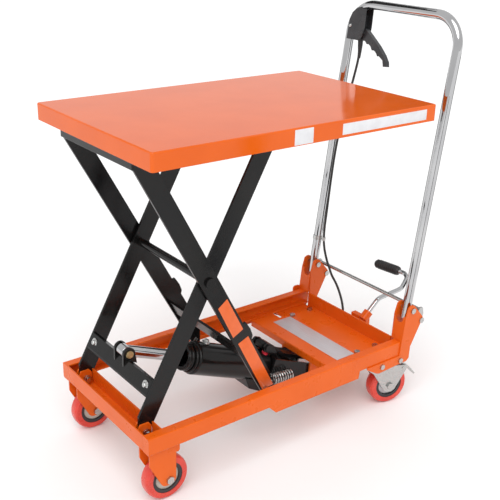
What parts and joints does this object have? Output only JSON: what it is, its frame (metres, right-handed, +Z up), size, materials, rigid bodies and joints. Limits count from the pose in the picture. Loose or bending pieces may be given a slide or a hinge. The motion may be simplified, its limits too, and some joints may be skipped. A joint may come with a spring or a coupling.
{
  "type": "scissor lift table",
  "caption": "Foot-pumped scissor lift table: a platform on crossed arms over a wheeled base with a push handle, swivel casters, pump pedal and release lever.",
  "frame": {"origin": "centre of the overall box in plan, on the floor", "axes": "+X from the platform's front edge to the handle, +Y to the pushing person's right, +Z up"},
  "size_m": [0.9263, 0.45, 0.9296],
  "materials": {
    "frame_paint": "gloss powder coat",
    "platform_paint": "high gloss powder coat",
    "arm_paint": "gloss powder coat",
    "zinc": "bright zinc plate",
    "bronze": "turned pin, bronze toned",
    "bare_steel": "turned steel",
    "tyre_red": "cast polyurethane",
    "hub_plastic": "moulded plastic",
    "chrome": "polished chrome plate",
    "grip_rubber": "ribbed rubber",
    "lever_black": "satin black",
    "cable_jacket": "extruded jacket"
  },
  "bodies": {
    "base": {"base_rail_left": "frame_paint", "base_rail_right": "frame_paint", "front_cross_channel": "frame_paint", "arm_pivot_ears": "frame_paint", "hinge_pins": "zinc", "pump_tray": "frame_paint", "handle_bracket_left": "frame_paint", "handle_bracket_right": "frame_paint", "front_fork_left": "frame_paint", "front_fork_right": "frame_paint", "frame_bolts": "zinc", "caster_top_plates": "zinc", "release_cable_lower": "cable_jacket"},
    "front_wheel_left": {"front_tyre_left": "tyre_red", "front_hub_left": "hub_plastic"},
    "front_wheel_right": {"front_tyre_right": "tyre_red", "front_hub_right": "hub_plastic"},
    "caster_left": {"caster_fork_left": "zinc"},
    "caster_right": {"caster_fork_right": "zinc"},
    "rear_wheel_left": {"rear_tyre_left": "tyre_red", "rear_hub_left": "hub_plastic"},
    "rear_wheel_right": {"rear_tyre_right": "tyre_red", "rear_hub_right": "hub_plastic"},
    "brake_left": {"caster_brake_left": "zinc"},
    "brake_right": {"caster_brake_right": "zinc"},
    "inner_arms": {"inner_arm_left": "arm_paint", "inner_arm_right": "arm_paint", "inner_cross_member": "arm_paint", "cylinder_pin": "bronze", "centre_shaft": "arm_paint", "table_roller_axles": "zinc"},
    "table_roller_left": {"table_roller_left": "bare_steel"},
    "table_roller_right": {"table_roller_right": "bare_steel"},
    "outer_arms": {"outer_arm_left": "arm_paint", "outer_arm_right": "arm_paint", "top_cross_bar": "arm_paint", "low_cross_bar": "arm_paint", "base_roller_axles": "zinc"},
    "base_roller_left": {"base_roller_left": "bare_steel"},
    "base_roller_right": {"base_roller_right": "bare_steel"},
    "platform": {"table_top": "platform_paint", "table_channels": "platform_paint", "table_hinges": "platform_paint", "table_hinge_pins": "zinc"},
    "pump": {"pump_reservoir": "arm_paint", "pump_gland": "arm_paint", "pump_block": "arm_paint", "pump_yoke": "arm_paint"},
    "piston": {"piston_rod": "chrome"},
    "plunger": {"pump_plunger": "bare_steel"},
    "valve_lever": {"valve_lever": "zinc"},
    "pedal": {"pedal_lever": "frame_paint", "pedal_tube": "chrome", "pedal_grip": "grip_rubber"},
    "handle": {"handle_tube": "chrome", "handle_bolts": "zinc", "lever_bracket": "lever_black", "release_cable_upper": "cable_jacket"},
    "hand_lever": {"hand_lever": "lever_black"},
    "handle_lock": {"handle_lock": "zinc"}
  },
  "joints": [
    {"name": "lift", "type": "hinge", "parent": "base", "child": "inner_arms", "pos_m": [-0.43615, 0, 0.151], "axis": [0, 1, 0], "range_deg": [0, 54.5]},
    {"name": "arm_cross", "type": "hinge", "parent": "inner_arms", "child": "outer_arms", "pos_m": [-0.28615, 0, 0.4435], "axis": [0, 1, 0], "range_deg": [-109, 0]},
    {"name": "platform_level", "type": "hinge", "parent": "outer_arms", "child": "platform", "pos_m": [-0.43615, 0, 0.736], "axis": [0, 1, 0], "range_deg": [0, 54.5]},
    {"name": "pump_tilt", "type": "hinge", "parent": "base", "child": "pump", "pos_m": [0.09085, 0, 0.057], "axis": [0, 1, 0], "range_deg": [-3.6, 0]},
    {"name": "piston_tilt", "type": "hinge", "parent": "inner_arms", "child": "piston", "pos_m": [-0.40515, 0, 0.2665], "axis": [0, 1, 0], "range_deg": [-58.1, 0]},
    {"name": "front_wheel_left_spin", "type": "hinge", "parent": "base", "child": "front_wheel_left", "pos_m": [-0.40855, -0.1568, 0.05], "axis": [0, 1, 0], "continuous": true},
    {"name": "caster_left_swivel", "type": "hinge", "parent": "base", "child": "caster_left", "pos_m": [0.19185, -0.15, 0.1], "axis": [0, 0, 1], "continuous": true},
    {"name": "rear_wheel_left_spin", "type": "hinge", "parent": "caster_left", "child": "rear_wheel_left", "pos_m": [0.23066, -0.15968, 0.05], "axis": [0.2419, 0.9703, 0], "continuous": true},
    {"name": "brake_left_press", "type": "hinge", "parent": "caster_left", "child": "brake_left", "pos_m": [0.26365, -0.1679, 0.094], "axis": [0.2419, 0.9703, 0], "range_deg": [0, 4]},
    {"name": "table_roller_left_roll", "type": "hinge", "parent": "inner_arms", "child": "table_roller_left", "pos_m": [-0.13615, -0.16, 0.736], "axis": [0, 1, 0], "continuous": true},
    {"name": "base_roller_left_roll", "type": "hinge", "parent": "outer_arms", "child": "base_roller_left", "pos_m": [-0.13615, -0.171, 0.151], "axis": [0, 1, 0], "continuous": true},
    {"name": "front_wheel_right_spin", "type": "hinge", "parent": "base", "child": "front_wheel_right", "pos_m": [-0.40855, 0.1568, 0.05], "axis": [0, 1, 0], "continuous": true},
    {"name": "caster_right_swivel", "type": "hinge", "parent": "base", "child": "caster_right", "pos_m": [0.19185, 0.15, 0.1], "axis": [0, 0, 1], "continuous": true},
    {"name": "rear_wheel_right_spin", "type": "hinge", "parent": "caster_right", "child": "rear_wheel_right", "pos_m": [0.23066, 0.15968, 0.05], "axis": [-0.2419, 0.9703, 0], "continuous": true},
    {"name": "brake_right_press", "type": "hinge", "parent": "caster_right", "child": "brake_right", "pos_m": [0.26365, 0.1679, 0.094], "axis": [-0.2419, 0.9703, 0], "range_deg": [0, 4]},
    {"name": "table_roller_right_roll", "type": "hinge", "parent": "inner_arms", "child": "table_roller_right", "pos_m": [-0.13615, 0.16, 0.736], "axis": [0, 1, 0], "continuous": true},
    {"name": "base_roller_right_roll", "type": "hinge", "parent": "outer_arms", "child": "base_roller_right", "pos_m": [-0.13615, 0.171, 0.151], "axis": [0, 1, 0], "continuous": true},
    {"name": "pedal_press", "type": "hinge", "parent": "pump", "child": "pedal", "pos_m": [-0.03715, 0, 0.1676], "axis": [0, 1, 0], "range_deg": [0, 12], "stiffness_Nm_per_rad": 40, "springref_deg": -8.59},
    {"name": "plunger_stroke", "type": "slide", "parent": "pump", "child": "plunger", "axis": [-0.3891, 0, -0.9212], "range_m": [0, 0.0294]},
    {"name": "handle_fold", "type": "hinge", "parent": "base", "child": "handle", "pos_m": [0.26985, 0, 0.246], "axis": [0, 1, 0], "range_deg": [-8, 0]},
    {"name": "hand_lever_squeeze", "type": "hinge", "parent": "handle", "child": "hand_lever", "pos_m": [0.35115, 0.1164, 0.8516], "axis": [0.9912, 0, -0.1323], "range_deg": [0, 16], "stiffness_Nm_per_rad": 2, "springref_deg": -11.46},
    {"name": "valve_lever_pull", "type": "hinge", "parent": "pump", "child": "valve_lever", "pos_m": [-0.00713, 0.029, 0.11141], "axis": [0, 1, 0], "range_deg": [0, 12]},
    {"name": "handle_lock_release", "type": "hinge", "parent": "base", "child": "handle_lock", "pos_m": [0.30285, 0, 0.2125], "axis": [0, 1, 0], "range_deg": [0, 25], "stiffness_Nm_per_rad": 3, "springref_deg": -17.19}
  ],
  "couplings": [
    {"joint": "arm_cross", "follows": "lift", "ratio": -2},
    {"joint": "platform_level", "follows": "lift", "ratio": 1},
    {"joint": "pump_tilt", "follows": "lift", "ratio": -0.065},
    {"joint": "piston_tilt", "follows": "lift", "ratio": -1.065},
    {"joint": "plunger_stroke", "follows": "pedal_press", "m_per_rad": 0.1395},
    {"joint": "valve_lever_pull", "follows": "hand_lever_squeeze", "ratio": 0.7}
  ]
}
